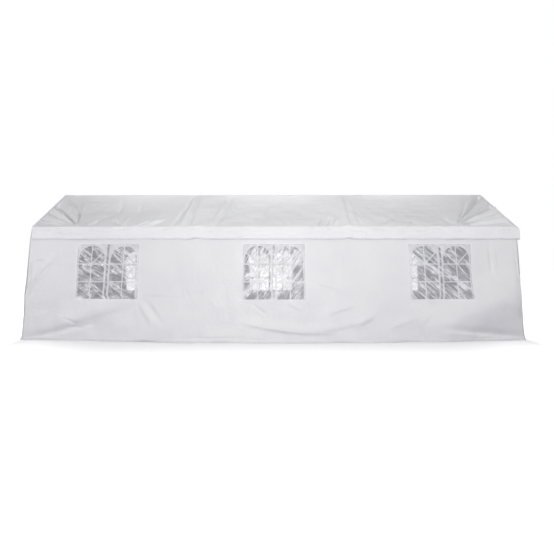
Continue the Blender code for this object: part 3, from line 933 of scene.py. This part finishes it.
class TENT_OT_long_walls(bpy.types.Operator):
    """Make the three long wall sheets of the front and of the back"""

    bl_idname = "tent.long_walls"
    bl_label = "Long walls"

    def execute(self, context):
        """Each sheet is a grid over the front's surface with its window left out. Neighbours lap
        by 10 mm, and the grid is closer beside the tent's corners and at the hem."""
        sizes, colours = context.scene.tent_sizes, context.scene.tent_colours
        cloth = woven_polyethylene("woven_polyethylene_wall", colours.wall, linear("#e4e4e5"))
        lap, beside, low = 0.010, 0.072, 0.10
        up = spaced((0.008, HEM_Z, low), (sizes.cloth_step, low, SILL_Z, WINDOW_TOP, WALL_TOP))
        for bay in range(3):
            left = -WALL_X if bay == 0 else FRAME_X[bay] - lap
            right = WALL_X if bay == 2 else FRAME_X[bay + 1] + lap
            hole = window_edges(bay)
            inner_left = left + beside * (bay == 0)
            inner_right = right - beside * (bay == 2)
            across = spaced(
                (0.006, left, inner_left),
                (sizes.cloth_step, inner_left, hole[0], hole[1], inner_right),
                (0.006, inner_right, right),
            )
            x, z, uv = grid(across, up)
            layer = -0.0006 if bay == 1 else 0.0006
            points = front_point(x, z, WALL_MID + layer * ease((z - HEM_Z) / 0.5))
            keep = outside(across, up, *hole)
            for side, number, way in (("front", bay + 1, 1.0), ("back", 3 - bay, HALF_TURN)):
                part = surface(points * way, uv, keep)
                sheet = add_piece(f"{side}_wall_sheet_{number}", [part], cloth)
                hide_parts(f"{side}_wall_{number}")
        return {"FINISHED"}


class TENT_OT_windows(bpy.types.Operator):
    """Make the six film windows with their printed lattice and welded borders"""

    bl_idname = "tent.windows"
    bl_label = "Windows"

    def execute(self, context):
        """The film is a grid just behind the wall's surface with ripples that fade at its edge.
        The border is a ring of the wall's own surface, standing a little proud."""
        sizes, colours = context.scene.tent_sizes, context.scene.tent_colours
        seam = welded_seam("welded_polyethylene", linear("#e8e8ea"))
        calm = printed_film("printed_soft_film_back", colours, *BACK_FILM)
        tuck, lip, behind = 0.006, 0.004, 0.0018
        for bay, (*light, sway) in enumerate(FRONT_FILM):
            film = printed_film(f"printed_soft_film_front_{bay + 1}", colours, *light)
            left, right, low, high = window_edges(bay, tuck)
            across = spaced((sizes.film_step, left, right))
            x, z = np.meshgrid(across, spaced((sizes.film_step, low, high)))
            free = ease(inset(x, z, *window_edges(bay)) / 0.08)
            ripple = 0.0045 * waves(x, z, 0.34, 71 + bay)
            ripple = ripple + 0.0022 * np.abs(waves(x, z, 0.15, 81 + bay))
            pane_points = front_point(x, z, WALL_MID - behind)
            pane_points[..., 1] -= free * ripple
            share = np.clip((z - SILL_Z) / WINDOW_H, 0, 1)
            aside = (bay - 1) * WINDOW_X + free * sway * np.cos(0.5 * np.pi * share)
            pane_uv = np.stack([x - aside, z - SILL_Z], -1)

            outer, inner = window_edges(bay, sizes.weld_width), window_edges(bay, -lip)
            across = spaced((0.010, outer[0], inner[0], inner[1], outer[1]))
            up = spaced((0.010, outer[2], inner[2], inner[3], outer[3]))
            x, z, ring_uv = grid(across, up)
            proud = 0.0006 + 0.0010 * ease(inset(x, z, *outer) / 0.006)
            ring_points = front_point(x, z, WALL_MID + proud)
            keep = outside(across, up, *inner)
            for side, number, way, finish in (
                ("front", bay + 1, 1.0, film),
                ("back", 3 - bay, HALF_TURN, calm),
            ):
                part = surface(pane_points * way, pane_uv)
                pane = add_piece(f"{side}_window_film_{number}", [part], finish)
                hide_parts(f"{side}_window_{number}")
                part = surface(ring_points * way, ring_uv, keep)
                weld = add_piece(f"{side}_window_weld_{number}", [part], seam)
        return {"FINISHED"}


class TENT_OT_end_walls(bpy.types.Operator):
    """Make the end walls, their doors and the zips that close them"""

    bl_idname = "tent.end_walls"
    bl_label = "End walls and doors"

    def execute(self, context):
        """Grids over the left end's surface, with the doorway left out for the door's own grid.
        A zip is a narrow grid along each side of the doorway, raised as a bell at its coil."""
        sizes, colours = context.scene.tent_sizes, context.scene.tent_colours
        cloth = woven_polyethylene("woven_polyethylene_end", colours.wall, linear("#e4e4e5"))
        zip_finish = coil_zip("nylon_coil_zip", linear("#e4e4e6"), linear("#cfcfd3"))
        step, half, lap, behind = sizes.end_step, DOOR_W / 2, 0.012, 0.0012
        across = spaced((step, -WALL_Y, -half, half, WALL_Y))
        up = spaced((step, HEM_Z, DOOR_TOP, WALL_TOP))
        y, z, wall_uv = grid(across, up)
        wall = left_point(y, z, WALL_MID)
        keep = outside(across, up, -half, half, 0.0, DOOR_TOP)
        across = spaced((step, -half - lap, half + lap))
        y, z, door_uv = grid(across, spaced((step, HEM_Z, DOOR_TOP + lap)))
        door = left_point(y, z, WALL_MID - behind)
        y, z, zip_uv = grid(np.linspace(-0.016, 0.016, 7), spaced((0.02, HEM_Z + 0.01, DOOR_TOP)))
        raised = WALL_MID + 0.0012 + 0.0020 * bell(y / 0.006)
        zips = [left_point(y + at, z, raised) for at in (-half, half)]
        for side, way, joint in (("left", 1.0, 1), ("right", HALF_TURN, 4)):
            part = surface(wall * way, wall_uv, keep, flip=True)
            sheet = add_piece(f"{side}_end_sheet", [part], cloth)
            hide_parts(f"{side}_end_wall")
            part = surface(door * way, door_uv, flip=True)
            leaf = add_piece(f"{side}_door_sheet", [part], cloth)
            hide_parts(f"{side}_end_door")
            coils = [surface(points * way, zip_uv, flip=True) for points in zips]
            closing = add_piece(f"{side}_door_zips", coils, zip_finish)
        return {"FINISHED"}


class TENT_OT_hems(bpy.types.Operator):
    """Make the stitched hems of the valance and of the walls"""

    bl_idname = "tent.hems"
    bl_label = "Hems"

    def execute(self, context):
        """A hem is a narrow grid along a sheet's lower edge, two cloths thick, that eases down
        to the sheet over 4 mm at each edge."""
        wide = context.scene.tent_sizes.hem_width
        sewn = stitched_hem("sewn_polyethylene_hem", linear("#e8e8ea"), linear("#d2d2d8"))
        strip, step = np.linspace(0.0, 1.0, 5), 0.02
        fold = 0.0009 * ease(wide / 0.004 * strip) * ease(wide / 0.004 * (1.0 - strip))
        fold = fold[:, None]

        x, up, front_uv = grid(spaced((step, -COVER_X, COVER_X)), wide * strip)
        front = valance_point(x, VALANCE - up)
        front[..., 1] -= 0.0006 + fold
        y, up, end_uv = grid(spaced((step, -COVER_Y, COVER_Y)), wide * strip)
        end = end_valance_point(y, VALANCE - up)
        end[..., 0] -= 0.0006 + fold
        parts = []
        for way in (1.0, HALF_TURN):
            parts.append(surface(front * way, front_uv))
            parts.append(surface(end * way, end_uv, flip=True))
        add_piece("valance_hem", parts, sewn, 0.0012)

        x, up, front_uv = grid(spaced((step, -WALL_X, WALL_X)), wide * strip)
        front = front_point(x, HEM_Z + up, WALL_MID + 0.0014 + fold)
        y, up, end_uv = grid(spaced((step, -WALL_Y, WALL_Y)), wide * strip)
        end = left_point(y, HEM_Z + up, WALL_MID + 0.0014 + fold)
        for name, points, uv, flip in (
            ("front_wall_hem", front, front_uv, False),
            ("back_wall_hem", front * HALF_TURN, front_uv, False),
            ("left_end_hem", end, end_uv, True),
            ("right_end_hem", end * HALF_TURN, end_uv, True),
        ):
            add_piece(name, [surface(points, uv, flip=flip)], sewn)
        return {"FINISHED"}


class TENT_OT_steel_frame(bpy.types.Operator):
    """Finish the steel frame and add its spring buttons"""

    bl_idname = "tent.steel_frame"
    bl_label = "Steel frame"

    def execute(self, context):
        """The CAD tubes, joints and feet keep their shape and take the coated finish. A spring
        button is half a ball, drawn out by 1.3, that stands out of each leg's and eave sleeve."""
        paint = powder_coated_steel("powder_coated_steel", context.scene.tent_colours.steel)
        fitting = powder_coated_steel("powder_coated_joint", linear("#d8d8d9"))
        for name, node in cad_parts.items():
            if name.startswith(("leg_", "rafter_", "ridge_", "eave_tube")):
                node.material_slots[0].material = paint
            elif name.startswith("eave_joint"):
                node.material_slots[0].material = fitting
        plated = zinc_plated_steel("zinc_plated_spring_button", linear("#b9bbbd"))
        reach, sleeve, ball = 0.09, 0.0205, 0.0048
        down, aside = np.array([0.0, 0.0, -1.0]), np.array([1.0, 0.0, 0.0])
        places = []
        for row, x in enumerate(FRAME_X):
            for side in (-1.0, 1.0):
                joint, inward = np.array([x, side * LEG_Y, EAVE_Z]), np.array([0.0, -side, 0.0])
                places.append((joint + reach * down + sleeve * inward, inward))
                for way in (-1.0, 1.0):
                    if 0 <= row + (way - 1) / 2 < len(FRAME_X) - 1:
                        places.append((joint + way * reach * aside + sleeve * down, down))
        turn, rise = np.meshgrid(np.linspace(0, 2 * np.pi, 13), np.linspace(0, np.pi / 2, 6))
        turn, rise = turn[..., None], rise[..., None]
        parts = []
        for spot, way in places:
            flat = (aside * np.cos(turn) + np.cross(way, aside) * np.sin(turn)) * np.cos(rise)
            points = spot + ball * (flat + 1.3 * np.sin(rise) * way)
            parts.append(surface(points, np.concatenate([turn, rise], -1)))
        add_piece("spring_buttons", parts, plated)
        return {"FINISHED"}


class TENT_OT_stage(bpy.types.Operator):
    """Make the floor, the light and the camera"""

    bl_idname = "tent.stage"
    bl_label = "Floor, light and camera"

    def execute(self, context):
        """A pale level floor with a painted shadow round the tent's feet, a bright surround, and
        large soft lamps. The camera stands where the photograph's near and far windows line up."""
        scene = context.scene
        scene.view_settings.view_transform = "Standard"
        lens = bpy.data.cameras.new("camera")
        lens.lens, lens.sensor_width = 31.19, 36.0
        lens.shift_x, lens.shift_y = 0.0298, -0.018
        lens.clip_end = 200.0
        camera = bpy.data.objects.new("camera", lens)
        camera.location = (-0.187, -10.4, 1.35)
        camera.rotation_euler = (math.radians(90), 0.0, 0.0065)
        scene.collection.objects.link(camera)
        scene.camera = camera

        reach = np.linspace(-90, 90, 5)
        x, y, uv = grid(reach, reach)
        points, faces, _ = surface(joined(x, y, 0.0), uv)
        mesh = bpy.data.meshes.new("floor")
        mesh.from_pydata(points.tolist(), [], faces.tolist())
        mesh.materials.append(floor_with_painted_shadow("floor_with_painted_shadow"))
        floor = bpy.data.objects.new("floor", mesh)
        scene.collection.objects.link(floor)
        scene.world = studio_walls("studio")

        for name, spot, aim, size, power in LAMPS:
            lamp = bpy.data.lights.new(name, "AREA")
            lamp.shape = "RECTANGLE"
            lamp.size, lamp.size_y = size
            lamp.energy = power
            obj = bpy.data.objects.new(name, lamp)
            obj.location = spot
            obj.visible_camera = False
            ahead, sideways, climb = np.array(aim) - np.array(spot)
            turn = math.atan2(sideways, ahead) - math.pi / 2
            obj.rotation_euler = (math.atan2(math.hypot(ahead, sideways), -climb), 0.0, turn)
            scene.collection.objects.link(obj)
        return {"FINISHED"}


class TENT_PT_sidebar(bpy.types.Panel):
    """Lists the tent's settings and pieces"""

    bl_label = "Marquee tent"
    bl_idname = "TENT_PT_sidebar"
    bl_space_type = "VIEW_3D"
    bl_region_type = "UI"
    bl_category = "Tent"

    def draw(self, context):
        """Draws the two groups of settings and a button for each operator."""
        for group in (context.scene.tent_sizes, context.scene.tent_colours):
            column = self.layout.column(align=True)
            for name in group.__annotations__:
                column.prop(group, name)
        for operator in OPERATORS:
            self.layout.operator(operator.bl_idname)


OPERATORS = (
    TENT_OT_stage,
    TENT_OT_roof_cover,
    TENT_OT_long_walls,
    TENT_OT_windows,
    TENT_OT_end_walls,
    TENT_OT_hems,
    TENT_OT_steel_frame,
)
CLASSES = (TentSizes, TentColours, *OPERATORS, TENT_PT_sidebar)


def register():
    """Registers the classes and puts the settings on the scene."""
    for cls in CLASSES:
        bpy.utils.register_class(cls)
    bpy.types.Scene.tent_sizes = bpy.props.PointerProperty(type=TentSizes)
    bpy.types.Scene.tent_colours = bpy.props.PointerProperty(type=TentColours)


def unregister():
    """Removes what register added."""
    del bpy.types.Scene.tent_colours
    del bpy.types.Scene.tent_sizes
    for cls in reversed(CLASSES):
        bpy.utils.unregister_class(cls)


def main():
    """Makes every piece in order."""
    register()
    for operator in OPERATORS:
        group, name = operator.bl_idname.split(".")
        getattr(getattr(bpy.ops, group), name)()


if __name__ == "__main__":
    main()
